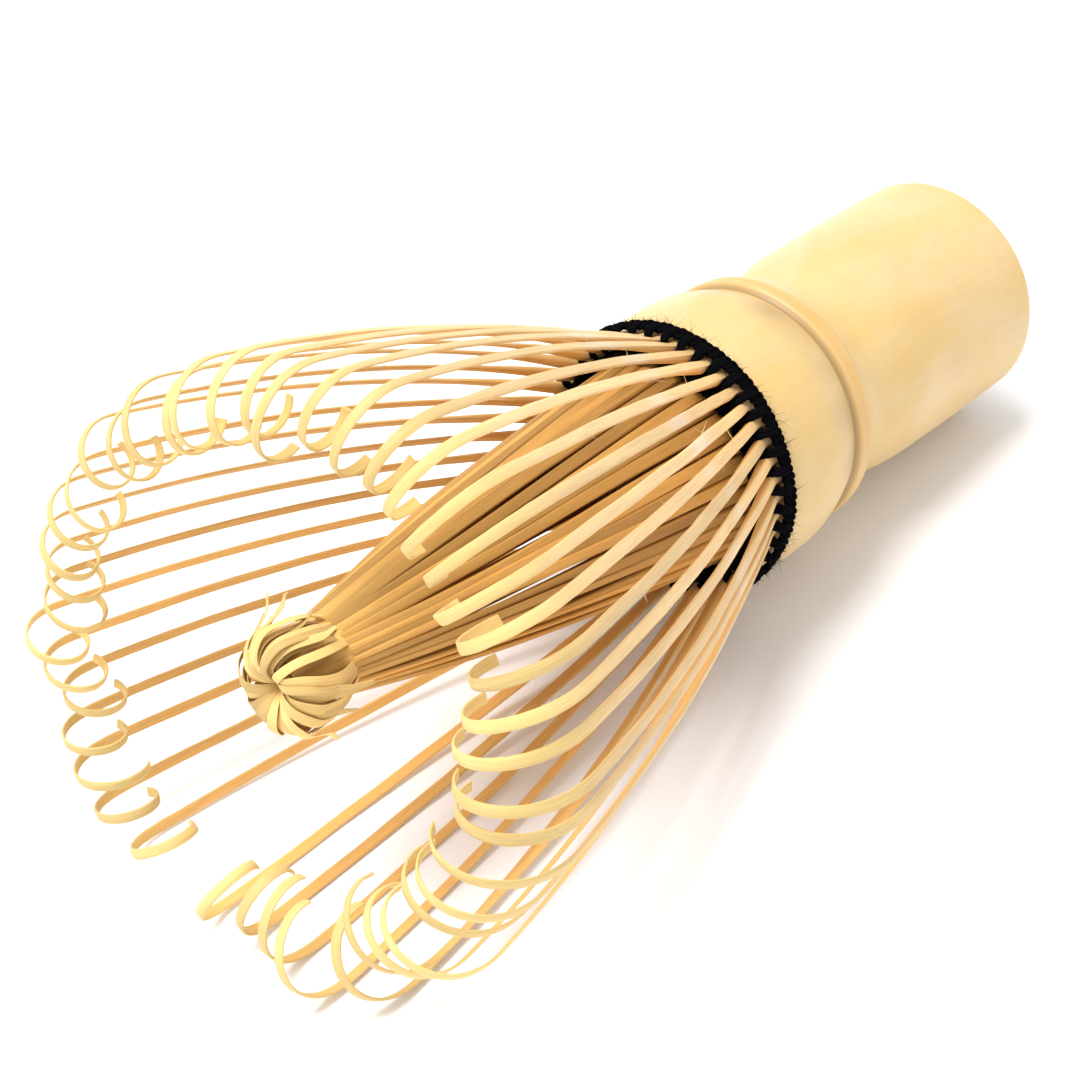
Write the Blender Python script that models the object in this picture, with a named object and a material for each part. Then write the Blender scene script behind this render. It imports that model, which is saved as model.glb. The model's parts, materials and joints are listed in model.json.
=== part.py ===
"""Bamboo tea whisk (chasen), lying on its side.

One culm of bamboo is left whole at the handle and split beyond it into an outer row and an inner
row of thin tines. A black thread, woven in where the splits begin, spreads the outer row into a
bell. The tips of the outer tines curl inwards. The inner tines lean together into a cone, and
their tips are folded over into a knot.

The whisk is modelled around its own axis in millimetres and parented to one empty, whisk_frame:
  local Z runs from the flat butt (z = 0) to the tips,
  local X points up, away from the surface it lies on,
  local Y is level.
lay_down() then tilts and places that empty, so that the butt's rim and the lowest outer tine
touch z = 0 and the whole object is centred on the world's origin. Blender's unit is the metre.
"""
import math
import random

import bmesh
import bpy
from mathutils import Vector

MM = 0.001

# Handle: radii and stations along the axis, from the butt.
BUTT_RADIUS = 12.0
GRIP_RADIUS = 12.1
WAIST_RADIUS = 11.3
RIDGE_RADIUS = 13.15
GROOVE_RADIUS = 12.75
COLLAR_RADIUS = 13.95
RIDGE_STATION = 32.6
RIDGE_HALF_WIDTH = 0.95
COLLAR_STATION = 39.9
SPLIT_STATION = 45.6
SPLIT_RADIUS = 13.15
RIM_ROUND = 0.6
BORE_RADIUS = 8.2
BORE_DEPTH = 31.2
DIAPHRAGM_THICKNESS = 2.2
CUP_RADIUS = 8.6
HANDLE_SEGMENTS = 36

# Thread: a cord wound round the outer roots, and a weave between the two rows of tines.
THREAD_INNER_RADIUS = 13.5
THREAD_OUTER_RADIUS = 14.35
THREAD_START = 45.9
THREAD_END = 47.5
WEAVE_INNER_RADIUS = 11.2
WEAVE_OUTER_RADIUS = 11.9
WEAVE_START = 45.9
WEAVE_END = 49.4
THREAD_SEGMENTS = 44

# Outer tines: lengths along the strip are measured from its root end.
OUTER_COUNT = 44
ROOT_RADIUS = 12.7
ROOT_STATION = 45.9
HINGE_LENGTH = 1.0
STRAIGHT_ROOT = 0.8
FLARE_LENGTH = 2.2
TURN_LENGTH = 8.0
CURL_START = 52.8
CURL_GROWTH = 1.45
# The curls are tightest on one side of the bell and loosest on the other.
TIGHT_CURL_ANGLE = math.radians(95)
TIGHT_CURL_LENGTH = 16.0
TIGHT_CURL_TURN = math.radians(290)
LOOSE_CURL_LENGTH = 18.5
LOOSE_CURL_TURN = math.radians(205)
MEAN_FLARE = math.radians(24.3)
BODY_BOW = math.radians(15.5)
# Use has bent the bell: its mouth has drifted sideways off the axis, and all the tines bend a
# little round it. Both are measured DRIFT_LENGTH beyond the thread.
MOUTH_DRIFT = 4.8
MOUTH_DRIFT_ANGLE = math.radians(-12)
ROUND_DRIFT = -4.1
DRIFT_LENGTH = 54.0
FAR_SIDE_EXTRA = 4.0
FAR_SIDE_ANGLE = math.radians(165)
# One wider gap is left between the first tine and the last: the tines on each side of it are
# pushed along the ring, less and less over a reach that is a number of tines.
GAP_ANGLE = math.radians(178.3)
FIRST_TINE_DRIFT = -2.4
FIRST_TINE_REACH = 3.0
LAST_TINE_DRIFT = -10.0
LAST_TINE_REACH = 8.0
# The whisk lies at this tilt. Its weight presses the lowest tines up to the surface, and so far
# that the tines that are less than RESTING_REACH above it come down on it too.
REST_TILT = math.radians(6.5)
PRESSING_ROUNDS = 4
RESTING_REACH = 2.0
ROOT_WIDTH = 1.25
BODY_WIDTH = 1.25
TIP_WIDTH = 1.2
WIDTH_SWING = 0.14
WIDEST_ANGLE = math.radians(275)
ROOT_THICKNESS = 1.0
SHAVED_THICKNESS = 0.38
TIP_THICKNESS = 0.26
SHAVED_LENGTH = 17.0

# Hand-cut differences between one outer tine and the next.
VARIATION_SEED = 11
TURN_VARIATION = math.radians(38)
LENGTH_VARIATION = 1.3
FLARE_VARIATION = math.radians(0.8)
SIDE_VARIATION = 0.35
TWIST_VARIATION = math.radians(14)

# Stations of the solid strip, as fractions of the body and of the curl.
BODY_STATIONS = (0.0, 0.03, 0.075, 0.15, 0.34, 0.6, 0.82)
CURL_STATIONS = (0.0, 0.18, 0.32, 0.44, 0.55, 0.66, 0.78, 0.89, 1.0)
PATH_STEP = 0.25

# Inner tines: groups of four that cling together towards the tip.
GROUP_COUNT = 11
TINES_PER_GROUP = 4
INNER_ROOT_RADIUS = 10.4
INNER_ROOT_STATION = 46.6
NECK_RADIUS = 3.45
NECK_STATION = 96.0
INNER_ROOT_WIDTH = 1.05
INNER_ROOT_THICKNESS = 0.9
INNER_NECK_THICKNESS = 0.6
GROUP_CLEARANCE = 0.32
CONE_BELLY = 0.9
CONE_RISE = 3.2
INNER_STATIONS = (0.0, 0.25, 0.5, 0.7, 0.86, 1.0)
CLING_STATION = 3
SWAY_STATION = 48.0

# Knot of folded-over inner tips.
KNOT_BACK = 96.35
KNOT_LENGTH = 6.6
KNOT_RADIUS = 4.9
KNOT_BACK_RADIUS = 3.3
KNOT_DIMPLE_DEPTH = 1.6
KNOT_DIMPLE_RADIUS = 1.1
KNOT_LOBES = 22
KNOT_LOBE_DEPTH = 0.05
KNOT_RINGS = 8
FOLD_START = math.radians(-50)
FOLD_END = math.radians(150)

# Colours, linear RGB.
SKIN_COLOUR = (0.86, 0.66, 0.36, 1.0)
TINE_COLOUR = (0.84, 0.60, 0.26, 1.0)
PITH_COLOUR = (0.70, 0.42, 0.17, 1.0)
THREAD_COLOUR = (0.012, 0.012, 0.016, 1.0)


def clear_scene():
    for scene_object in list(bpy.data.objects):
        bpy.data.objects.remove(scene_object, do_unlink=True)


def make_material(name, colour, roughness):
    material = bpy.data.materials.new(name)
    material.use_nodes = True
    shader = material.node_tree.nodes["Principled BSDF"]
    shader.inputs["Base Color"].default_value = colour
    shader.inputs["Roughness"].default_value = roughness
    shader.inputs["Metallic"].default_value = 0.0
    material.diffuse_color = colour
    return material


def add_object(name, mesh_builder, material, parent, smooth_angle=None):
    """Turn a filled bmesh into a named object with outward faces."""
    bmesh.ops.recalc_face_normals(mesh_builder, faces=mesh_builder.faces)
    mesh = bpy.data.meshes.new(name)
    mesh_builder.to_mesh(mesh)
    mesh_builder.free()
    mesh.materials.append(material)
    if smooth_angle is not None:
        mesh.shade_smooth()
        mesh.set_sharp_from_angle(angle=smooth_angle)
    piece = bpy.data.objects.new(name, mesh)
    bpy.context.scene.collection.objects.link(piece)
    piece.parent = parent
    return piece


def smooth_step(value):
    value = min(max(value, 0.0), 1.0)
    return value * value * (3.0 - 2.0 * value)


def blend(first, second, share):
    return first + (second - first) * share


# ---------------------------------------------------------------- turned pieces

def turned_mesh(profile, segments, closed_ring=False, lobes=0, lobe_depth=0.0):
    """Turn (radius, station) points about Z. A radius of 0 becomes a single pole vertex."""
    builder = bmesh.new()
    rings = []
    for radius, station in profile:
        if radius == 0.0:
            rings.append([builder.verts.new(Vector((0, 0, station)) * MM)] * segments)
            continue
        ring = []
        for index in range(segments):
            angle = 2 * math.pi * index / segments
            bulge = 1.0 + lobe_depth * math.cos(lobes * angle)
            point = Vector((radius * bulge * math.cos(angle), radius * bulge * math.sin(angle), station))
            ring.append(builder.verts.new(point * MM))
        rings.append(ring)
    pairs = list(zip(rings, rings[1:]))
    if closed_ring:
        pairs.append((rings[-1], rings[0]))
    for ring, following in pairs:
        for index in range(segments):
            other = (index + 1) % segments
            corners = [ring[index], ring[other], following[other], following[index]]
            unique = list(dict.fromkeys(corners))
            builder.faces.new(unique)
    return builder


def handle_profile():
    """Half-section of the culm, from the bore's blind end round the outside to the front cup."""
    cup_floor = BORE_DEPTH + DIAPHRAGM_THICKNESS
    return [
        (0.0, BORE_DEPTH),
        (BORE_RADIUS, BORE_DEPTH),
        (BORE_RADIUS, RIM_ROUND),
        (BORE_RADIUS + RIM_ROUND, 0.0),
        (BUTT_RADIUS - RIM_ROUND, 0.0),
        (BUTT_RADIUS - RIM_ROUND * 0.29, RIM_ROUND * 0.29),
        (BUTT_RADIUS, RIM_ROUND),
        (GRIP_RADIUS, RIDGE_STATION * 0.45),
        (GRIP_RADIUS, RIDGE_STATION * 0.7),
        (WAIST_RADIUS, RIDGE_STATION - 5.0),
        (blend(WAIST_RADIUS, RIDGE_RADIUS, 0.45), RIDGE_STATION - 2.0),
        (RIDGE_RADIUS, RIDGE_STATION - RIDGE_HALF_WIDTH),
        (RIDGE_RADIUS, RIDGE_STATION + RIDGE_HALF_WIDTH * 0.6),
        (GROOVE_RADIUS, RIDGE_STATION + RIDGE_HALF_WIDTH * 1.5),
        (blend(GROOVE_RADIUS, COLLAR_RADIUS, 0.55), RIDGE_STATION + 3.4),
        (blend(GROOVE_RADIUS, COLLAR_RADIUS, 0.9), RIDGE_STATION + 5.6),
        (COLLAR_RADIUS, COLLAR_STATION),
        (COLLAR_RADIUS, COLLAR_STATION + 2.4),
        (SPLIT_RADIUS, SPLIT_STATION),
        (CUP_RADIUS, SPLIT_STATION),
        (CUP_RADIUS, cup_floor),
        (0.0, cup_floor),
    ]


def add_handle(parent, skin):
    builder = turned_mesh(handle_profile(), HANDLE_SEGMENTS)
    handle = add_object("handle", builder, skin, parent, smooth_angle=math.radians(40))
    # Half a facet's turn puts a facet, not an edge, at the bottom, where the butt's rim rests.
    handle.rotation_euler.z = math.pi / HANDLE_SEGMENTS
    return handle


def ring_section(inner, outer, start, end):
    """Octagonal section of a ring, with its corners cut by a quarter of the wall."""
    cut = (outer - inner) / 4
    return [
        (inner, start + cut),
        (inner + cut, start),
        (outer - cut, start),
        (outer, start + cut),
        (outer, end - cut),
        (outer - cut, end),
        (inner + cut, end),
        (inner, end - cut),
    ]


def add_thread(parent, thread):
    wrap = ring_section(THREAD_INNER_RADIUS, THREAD_OUTER_RADIUS, THREAD_START, THREAD_END)
    weave = ring_section(WEAVE_INNER_RADIUS, WEAVE_OUTER_RADIUS, WEAVE_START, WEAVE_END)
    smooth = math.radians(60)
    wrap_builder = turned_mesh(wrap, THREAD_SEGMENTS, closed_ring=True)
    weave_builder = turned_mesh(weave, THREAD_SEGMENTS, closed_ring=True)
    return [
        add_object("thread_outer_wrap", wrap_builder, thread, parent, smooth),
        add_object("thread_inner_weave", weave_builder, thread, parent, smooth),
    ]


# ---------------------------------------------------------------- outer tines

class TineShape:
    """What sets one outer tine apart from its neighbours."""

    def __init__(self, index, variation):
        pitch = 2 * math.pi / OUTER_COUNT
        self.angle = GAP_ANGLE + pitch * (index + 0.5)
        places_from_last = OUTER_COUNT - 1 - index
        outward_drift = MOUTH_DRIFT * math.cos(self.angle - MOUTH_DRIFT_ANGLE)
        side_drift = ROUND_DRIFT - MOUTH_DRIFT * math.sin(self.angle - MOUTH_DRIFT_ANGLE)
        side_drift += FIRST_TINE_DRIFT * math.exp(-(index / FIRST_TINE_REACH) ** 2)
        side_drift += LAST_TINE_DRIFT * math.exp(-(places_from_last / LAST_TINE_REACH) ** 2)
        extra = FAR_SIDE_EXTRA * math.cos(self.angle - FAR_SIDE_ANGLE)
        tightness = (1.0 + math.cos(self.angle - TIGHT_CURL_ANGLE)) / 2
        self.curl_length = blend(LOOSE_CURL_LENGTH, TIGHT_CURL_LENGTH, tightness)
        self.turn = blend(LOOSE_CURL_TURN, TIGHT_CURL_TURN, tightness)
        self.turn += variation.uniform(-TURN_VARIATION, TURN_VARIATION)
        self.curl_start = CURL_START + extra + variation.uniform(-LENGTH_VARIATION, LENGTH_VARIATION)
        flare = MEAN_FLARE + outward_drift / DRIFT_LENGTH
        flare += variation.uniform(-FLARE_VARIATION, FLARE_VARIATION)
        side_drift += variation.uniform(-SIDE_VARIATION, SIDE_VARIATION)
        self.outward_slope = math.sin(flare - BODY_BOW / 2)
        self.side_slope = side_drift / DRIFT_LENGTH
        self.twist = variation.uniform(-TWIST_VARIATION, TWIST_VARIATION)
        self.broadness = 1.0 + WIDTH_SWING * math.cos(self.angle - WIDEST_ANGLE)
        self.length = self.curl_start + self.curl_length
        self.bend()
        if math.cos(self.angle) < -0.5:
            for _ in range(PRESSING_ROUNDS):
                self.settle()

    def bend(self):
        """Set the plane that the tine bends in, and its flare there, from its two slopes."""
        self.flare = math.asin(math.hypot(self.outward_slope, self.side_slope)) + BODY_BOW / 2
        self.plane = math.atan2(self.side_slope, self.outward_slope)

    def settle(self):
        """Press up a tine that would reach below the surface that the whisk lies on, and bring one
        that lies a little above the surface down to it."""
        depths = []
        for step, (outward, axial) in enumerate(self.path()):
            length = step * PATH_STEP
            turned = self.angle + self.plane + self.section_turn(length)
            corner = abs(math.sin(turned)) * self.width(length) / 2 + self.thickness(length) / 2
            height = ROOT_RADIUS * math.cos(self.angle) - corner
            height += outward * math.cos(self.angle + self.plane)
            station = ROOT_STATION + HINGE_LENGTH + axial
            surface = -BUTT_RADIUS - math.tan(REST_TILT) * station
            depths.append(surface - height)
        depth = max(depths)
        if depth < -RESTING_REACH:
            depth = 0.0
        self.outward_slope += depth / (DRIFT_LENGTH * math.cos(self.angle))
        self.bend()

    def section_turn(self, length):
        """How far the section is turned about the strip: straight outwards at the root, into the
        bending plane beyond it, then twisted a little more towards the tip."""
        rooted = -self.plane * (1.0 - smooth_step(length / TURN_LENGTH))
        return rooted - self.twist * length / self.length

    def heading(self, length):
        """Angle of the strip away from the whisk's axis: outwards is positive."""
        outwards = self.flare * smooth_step((length - STRAIGHT_ROOT) / FLARE_LENGTH)
        bow = BODY_BOW * max(length - STRAIGHT_ROOT, 0.0) / (self.curl_start - STRAIGHT_ROOT)
        curled = max(length - self.curl_start, 0.0) / self.curl_length
        return outwards - min(bow, BODY_BOW) - self.turn * curled ** CURL_GROWTH

    def path(self):
        """(outward, axial) points every PATH_STEP, measured from the hinge in the bending plane."""
        outward = 0.0
        axial = -HINGE_LENGTH
        points = [(outward, axial)]
        steps = round(self.length / PATH_STEP)
        for step in range(steps):
            heading = self.heading((step + 0.5) * PATH_STEP)
            outward += math.sin(heading) * PATH_STEP
            axial += math.cos(heading) * PATH_STEP
            points.append((outward, axial))
        return points

    def width(self, length):
        body = BODY_WIDTH * self.broadness
        if length < self.curl_start:
            return blend(ROOT_WIDTH, body, smooth_step(length / SHAVED_LENGTH))
        return blend(body, TIP_WIDTH * self.broadness, (length - self.curl_start) / self.curl_length)

    def thickness(self, length):
        if length < SHAVED_LENGTH:
            share = smooth_step((length - STRAIGHT_ROOT) / (SHAVED_LENGTH - STRAIGHT_ROOT))
            return blend(ROOT_THICKNESS, SHAVED_THICKNESS, share)
        share = (length - SHAVED_LENGTH) / (self.curl_start - SHAVED_LENGTH)
        return blend(SHAVED_THICKNESS, TIP_THICKNESS, min(share, 1.0))

    def station_lengths(self):
        body = [share * self.curl_start for share in BODY_STATIONS]
        curl = [self.curl_start + share * self.curl_length for share in CURL_STATIONS]
        return body + curl


def strip_mesh(sections):
    """Close a strip over four-cornered sections, each a list of points in order round the strip."""
    builder = bmesh.new()
    rings = [[builder.verts.new(point * MM) for point in section] for section in sections]
    for ring, following in zip(rings, rings[1:]):
        for index in range(4):
            other = (index + 1) % 4
            builder.faces.new([ring[index], ring[other], following[other], following[index]])
    builder.faces.new(rings[0])
    builder.faces.new(rings[-1])
    return builder


def outer_tine_sections(shape):
    path = shape.path()
    bending = Vector((math.cos(shape.plane), math.sin(shape.plane), 0.0))
    across = Vector((-math.sin(shape.plane), math.cos(shape.plane), 0.0))
    sections = []
    for length in shape.station_lengths():
        outward, axial = path[min(round(length / PATH_STEP), len(path) - 1)]
        heading = shape.heading(length)
        turn = shape.section_turn(length)
        normal = bending * math.cos(heading) - Vector((0.0, 0.0, math.sin(heading)))
        side = across * math.cos(turn) - normal * math.sin(turn)
        face = normal * math.cos(turn) + across * math.sin(turn)
        centre = bending * outward + Vector((0.0, 0.0, axial))
        half_width = side * shape.width(length) / 2
        half_thickness = face * shape.thickness(length) / 2
        sections.append([
            centre - half_width - half_thickness,
            centre + half_width - half_thickness,
            centre + half_width + half_thickness,
            centre - half_width + half_thickness,
        ])
    return sections


def add_outer_tines(parent, bamboo):
    """Each tine's origin is on its hinge, where the thread holds it: local Y is the hinge's axis."""
    variation = random.Random(VARIATION_SEED)
    tines = []
    for index in range(OUTER_COUNT):
        shape = TineShape(index, variation)
        name = "outer_tine_%02d" % (index + 1)
        tine = add_object(name, strip_mesh(outer_tine_sections(shape)), bamboo, parent)
        hinge = Vector((
            ROOT_RADIUS * math.cos(shape.angle),
            ROOT_RADIUS * math.sin(shape.angle),
            ROOT_STATION + HINGE_LENGTH,
        ))
        tine.location = hinge * MM
        tine.rotation_euler = (0.0, 0.0, shape.angle)
        tines.append(tine)
    return tines


# ---------------------------------------------------------------- inner tines

def inner_tine_section(angle, share, half_angle_width, clinging):
    """Four corners of one inner tine at a share of the way from its root to the neck.

    The cone's tip stands CONE_RISE above the whisk's axis."""
    radius = blend(INNER_ROOT_RADIUS, NECK_RADIUS, share) + CONE_BELLY * math.sin(math.pi * share)
    station = blend(INNER_ROOT_STATION, NECK_STATION, share)
    half_thickness = blend(INNER_ROOT_THICKNESS, INNER_NECK_THICKNESS, share) / 2
    half_width = min(INNER_ROOT_WIDTH / 2 / radius, half_angle_width)
    if clinging:
        half_width = half_angle_width
    corners = []
    for side, layer in ((-1, -1), (1, -1), (1, 1), (-1, 1)):
        corner_angle = angle + side * half_width
        corner_radius = radius + layer * half_thickness
        corners.append(Vector((
            corner_radius * math.cos(corner_angle) + CONE_RISE * share,
            corner_radius * math.sin(corner_angle),
            station,
        )))
    return corners


def inner_group_mesh(group_angle):
    """Four strips, apart at the root and joined side by side from CLING_STATION to the neck."""
    builder = bmesh.new()
    pitch = 2 * math.pi / (GROUP_COUNT * TINES_PER_GROUP)
    strips = []
    for tine in range(TINES_PER_GROUP):
        rings = []
        for index, share in enumerate(INNER_STATIONS):
            radius = blend(INNER_ROOT_RADIUS, NECK_RADIUS, share)
            clearance = GROUP_CLEARANCE / radius
            tine_pitch = pitch - clearance / TINES_PER_GROUP
            clinging = index >= CLING_STATION
            angle = group_angle + (tine - (TINES_PER_GROUP - 1) / 2) * tine_pitch
            half_angle_width = tine_pitch / 2 * (1.0 if clinging else 0.78)
            section = inner_tine_section(angle, share, half_angle_width, clinging)
            rings.append([builder.verts.new(point * MM) for point in section])
        strips.append(rings)
    last = len(INNER_STATIONS) - 1
    for tine, rings in enumerate(strips):
        for index in range(last):
            clinging = index >= CLING_STATION
            for corner in range(4):
                other = (corner + 1) % 4
                inner_wall = (corner == 1 and tine < TINES_PER_GROUP - 1) or (corner == 3 and tine > 0)
                if clinging and inner_wall:
                    continue
                ring, following = rings[index], rings[index + 1]
                builder.faces.new([ring[corner], ring[other], following[other], following[corner]])
        builder.faces.new(rings[0])
        builder.faces.new(rings[last])
    bmesh.ops.remove_doubles(builder, verts=builder.verts, dist=0.001 * MM)
    return builder


def add_inner_bundle(parent, pith):
    """The inner tines and their knot sway together about whisk_sway, an empty level with the weave."""
    sway = bpy.data.objects.new("whisk_sway", None)
    bpy.context.scene.collection.objects.link(sway)
    sway.parent = parent
    sway.location = (0.0, 0.0, SWAY_STATION * MM)
    pieces = []
    for group in range(GROUP_COUNT):
        group_angle = 2 * math.pi * group / GROUP_COUNT
        name = "inner_tine_group_%02d" % (group + 1)
        pieces.append(add_object(name, inner_group_mesh(group_angle), pith, sway))
    profile = knot_profile()
    segments = 2 * KNOT_LOBES
    knot = turned_mesh(profile, segments, lobes=KNOT_LOBES, lobe_depth=KNOT_LOBE_DEPTH)
    pieces.append(add_object("inner_tip_knot", knot, pith, sway))
    for piece in pieces:
        piece.location = (0.0, 0.0, -SWAY_STATION * MM)
    pieces[-1].location.x = CONE_RISE * MM
    return pieces


def knot_profile():
    """A fat ring of folds round a dimple, from the neck's end to the dimple's floor."""
    fold_centre = (KNOT_RADIUS + KNOT_DIMPLE_RADIUS) / 2
    fold_radius = KNOT_RADIUS - fold_centre
    profile = [(0.0, KNOT_BACK), (KNOT_BACK_RADIUS, KNOT_BACK)]
    for ring in range(KNOT_RINGS):
        turn = blend(FOLD_START, FOLD_END, ring / (KNOT_RINGS - 1))
        radius = fold_centre + fold_radius * math.cos(turn)
        profile.append((radius, KNOT_BACK + KNOT_LENGTH / 2 * (1.0 + math.sin(turn))))
    profile.append((0.0, KNOT_BACK + KNOT_LENGTH - KNOT_DIMPLE_DEPTH))
    return profile


# ---------------------------------------------------------------- laying the whisk down

def lay_down(frame, pieces):
    """Tilt the axis, then set the lowest point on the ground and the whole whisk over the origin."""
    frame.rotation_euler = (0.0, REST_TILT - math.pi / 2, 0.0)
    bpy.context.view_layer.update()
    points = [piece.matrix_world @ vertex.co for piece in pieces for vertex in piece.data.vertices]
    low = Vector([min(point[axis] for point in points) for axis in range(3)])
    high = Vector([max(point[axis] for point in points) for axis in range(3)])
    frame.location = (-(low.x + high.x) / 2, -(low.y + high.y) / 2, -low.z)


def main():
    clear_scene()
    skin = make_material("bamboo_skin", SKIN_COLOUR, 0.42)
    bamboo = make_material("bamboo_tine", TINE_COLOUR, 0.5)
    pith = make_material("bamboo_inner_tine", PITH_COLOUR, 0.6)
    thread = make_material("black_thread", THREAD_COLOUR, 0.9)
    frame = bpy.data.objects.new("whisk_frame", None)
    bpy.context.scene.collection.objects.link(frame)
    handle = add_handle(frame, skin)
    tines = add_outer_tines(frame, bamboo)
    pieces = [handle] + add_thread(frame, thread) + tines + add_inner_bundle(frame, pith)
    lay_down(frame, pieces)


main()
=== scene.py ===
"""The looks of the bamboo tea whisk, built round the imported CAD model.

Every CAD node is replaced by a finer piece that follows the same formula: the culm of the handle,
the black cord with its loops and stray fibres, the outer tines with their curled tips, the inner
tines, and the rosette that their folded ends make. Shapes are worked out in millimetres in the
whisk's own frame, as in the CAD source: local Z runs from the butt to the tips, local X points up
and local Y is level. whisk_to_world() gives that frame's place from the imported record.
"""
import json
import math
import random

import bpy
from mathutils import Matrix, Vector, noise


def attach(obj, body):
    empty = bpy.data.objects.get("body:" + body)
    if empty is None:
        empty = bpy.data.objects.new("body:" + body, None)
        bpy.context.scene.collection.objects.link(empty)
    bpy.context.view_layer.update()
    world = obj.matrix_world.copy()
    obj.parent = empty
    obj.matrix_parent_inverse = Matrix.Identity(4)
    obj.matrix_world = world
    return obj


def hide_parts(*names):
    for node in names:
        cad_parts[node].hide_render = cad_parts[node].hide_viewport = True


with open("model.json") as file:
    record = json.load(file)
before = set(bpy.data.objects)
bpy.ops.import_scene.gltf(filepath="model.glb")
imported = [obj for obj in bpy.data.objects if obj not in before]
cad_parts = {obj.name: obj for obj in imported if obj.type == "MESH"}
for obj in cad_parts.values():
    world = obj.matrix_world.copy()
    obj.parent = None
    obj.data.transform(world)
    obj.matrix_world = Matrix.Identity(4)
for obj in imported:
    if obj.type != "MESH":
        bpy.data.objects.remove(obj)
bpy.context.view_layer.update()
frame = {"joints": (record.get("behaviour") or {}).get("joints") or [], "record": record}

MM = 0.001

# ---------------------------------------------------------------- sizes shared with the CAD source

BUTT_RADIUS = 12.0
GRIP_RADIUS = 12.1
WAIST_RADIUS = 11.3
RIDGE_RADIUS = 13.15
GROOVE_RADIUS = 12.75
COLLAR_RADIUS = 13.95
RIDGE_STATION = 32.6
RIDGE_HALF_WIDTH = 0.95
COLLAR_STATION = 39.9
SPLIT_STATION = 45.6
SPLIT_RADIUS = 13.15
RIM_ROUND = 0.6
BORE_RADIUS = 8.2
BORE_DEPTH = 31.2
DIAPHRAGM_THICKNESS = 2.2
CUP_RADIUS = 8.6

THREAD_INNER_RADIUS = 13.5
THREAD_OUTER_RADIUS = 14.35
THREAD_START = 45.9
THREAD_END = 47.5
WEAVE_INNER_RADIUS = 11.2
WEAVE_OUTER_RADIUS = 11.9
WEAVE_START = 45.9
WEAVE_END = 49.4

OUTER_COUNT = 44
ROOT_RADIUS = 12.7
ROOT_STATION = 45.9
HINGE_LENGTH = 1.0
STRAIGHT_ROOT = 0.8
FLARE_LENGTH = 2.2
TURN_LENGTH = 8.0
CURL_START = 52.8
CURL_GROWTH = 1.45
TIGHT_CURL_ANGLE = math.radians(95)
TIGHT_CURL_LENGTH = 16.0
TIGHT_CURL_TURN = math.radians(290)
LOOSE_CURL_LENGTH = 18.5
LOOSE_CURL_TURN = math.radians(205)
MEAN_FLARE = math.radians(24.3)
BODY_BOW = math.radians(15.5)
MOUTH_DRIFT = 4.8
MOUTH_DRIFT_ANGLE = math.radians(-12)
ROUND_DRIFT = -4.1
DRIFT_LENGTH = 54.0
FAR_SIDE_EXTRA = 4.0
FAR_SIDE_ANGLE = math.radians(165)
GAP_ANGLE = math.radians(178.3)
FIRST_TINE_DRIFT = -2.4
FIRST_TINE_REACH = 3.0
LAST_TINE_DRIFT = -10.0
LAST_TINE_REACH = 8.0
REST_TILT = math.radians(6.5)
PRESSING_ROUNDS = 4
RESTING_REACH = 2.0
ROOT_WIDTH = 1.25
BODY_WIDTH = 1.25
TIP_WIDTH = 1.2
WIDTH_SWING = 0.14
WIDEST_ANGLE = math.radians(275)
ROOT_THICKNESS = 1.0
SHAVED_THICKNESS = 0.38
TIP_THICKNESS = 0.26
SHAVED_LENGTH = 17.0
VARIATION_SEED = 11
TURN_VARIATION = math.radians(38)
LENGTH_VARIATION = 1.3
FLARE_VARIATION = math.radians(0.8)
SIDE_VARIATION = 0.35
TWIST_VARIATION = math.radians(14)
PATH_STEP = 0.25

GROUP_COUNT = 11
TINES_PER_GROUP = 4
INNER_ROOT_RADIUS = 10.4
INNER_ROOT_STATION = 46.6
NECK_RADIUS = 3.45
NECK_STATION = 96.0
INNER_ROOT_THICKNESS = 0.9
INNER_NECK_THICKNESS = 0.6
CONE_BELLY = 0.9
CONE_RISE = 3.2
SWAY_STATION = 48.0

KNOT_BACK = 96.35
KNOT_LENGTH = 6.6
KNOT_RADIUS = 4.9

# ---------------------------------------------------------------- finer sizes, for looks only

# One strip's section: across and through, in halves of its width and thickness, and how much of
# the culm's skin shows there.
STRIP_OUTLINE = (
    (-1.0, -0.45, 0.25),
    (-0.8, -1.0, 0.0),
    (0.8, -1.0, 0.0),
    (1.0, -0.45, 0.25),
    (1.0, 0.45, 0.7),
    (0.8, 0.95, 1.0),
    (0.0, 1.12, 1.0),
    (-0.8, 0.95, 1.0),
    (-1.0, 0.45, 0.7),
)
# Edges sharper than this stay crisp.
STRIP_SHARP_ANGLE = math.radians(32)
CULM_SHARP_ANGLE = math.radians(50)
CORD_SHARP_ANGLE = math.radians(70)
# Seeds of the random differences that are drawn for the looks only.
FUZZ_SEED = 5
OUTER_GRAIN_SEED = 23
INNER_GRAIN_SEED = 31
KNOT_SEED = 8

# The tines are worn narrower than the CAD's plain strips.
WORN_WIDTH = 0.82
# Spacing of the sections on a tine's body and in its curl.
BODY_STEP = 1.1
CURL_STEP = 0.34
# Keeps the grain of one strip apart from that of the next.
LAYER_SPACING = 10.0
# How far a tine strays sideways once it is STRAYING_LENGTH from its root, and the shares by which
# its width and thickness vary.
SIDE_STRAYING = 0.10
STRAYING_LENGTH = 10.0
WIDTH_RAGGEDNESS = 0.06
WIDTH_WANDER = 0.05
THICKNESS_WANDER = 0.08
# A pale patch where the shaving began, the skin's share at the root, and painted light that shines
# through the thin curl and makes it paler.
PATCH_SHIFTS = (-3.5, 2.5)
PATCH_HALF_LENGTHS = (2.0, 5.0)
PATCH_DEPTHS = (0.3, 1.0)
ROOT_SKIN = 0.6
FULL_SKIN_LENGTH = 34.0
CURL_GLOW_LEAD = 6.0
CURL_GLOW_LENGTH = 14.0
CURL_GLOW_SHARE = 0.8
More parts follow.
